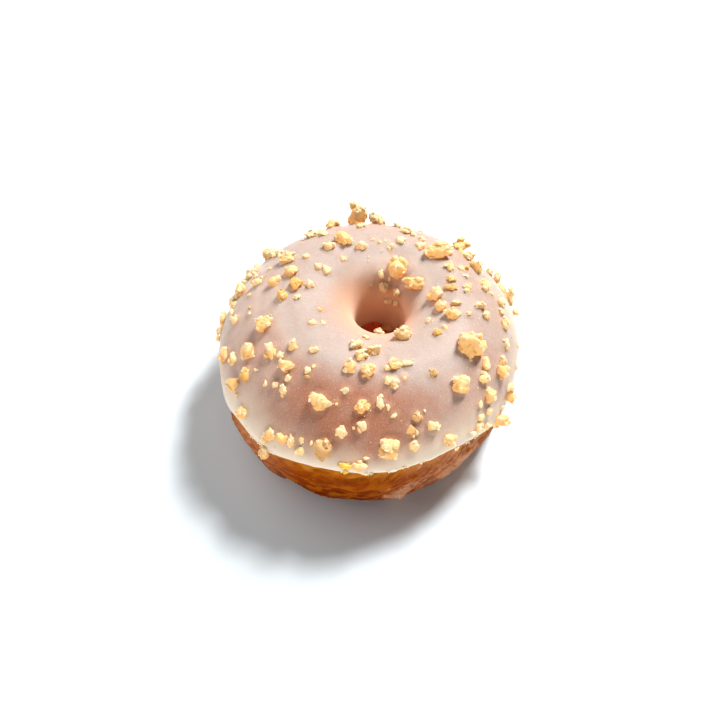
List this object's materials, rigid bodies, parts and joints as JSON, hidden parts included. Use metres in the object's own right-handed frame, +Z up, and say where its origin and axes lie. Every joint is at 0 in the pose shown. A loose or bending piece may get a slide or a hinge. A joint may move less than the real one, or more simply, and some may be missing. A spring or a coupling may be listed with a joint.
{
  "type": "iced ring doughnut",
  "caption": "Ring doughnut of fried dough, its upper half under translucent white sugar icing with golden biscuit crumbs stuck in it; food that rests flat.",
  "frame": {"origin": "under the middle of the part's box, on the surface that the doughnut lies on", "axes": "+Z up through the hole, -Y towards the side that the picture shows nearest, +X to the picture's right"},
  "size_m": [0.0858, 0.088, 0.0423],
  "materials": {
    "fried_dough": "satin fried crust",
    "sugar_icing": "satin translucent sugar icing",
    "biscuit_crumb": "matt, granular"
  },
  "bodies": {
    "root": {"dough_ring": "fried_dough", "icing": "sugar_icing"}
  },
  "joints": []
}
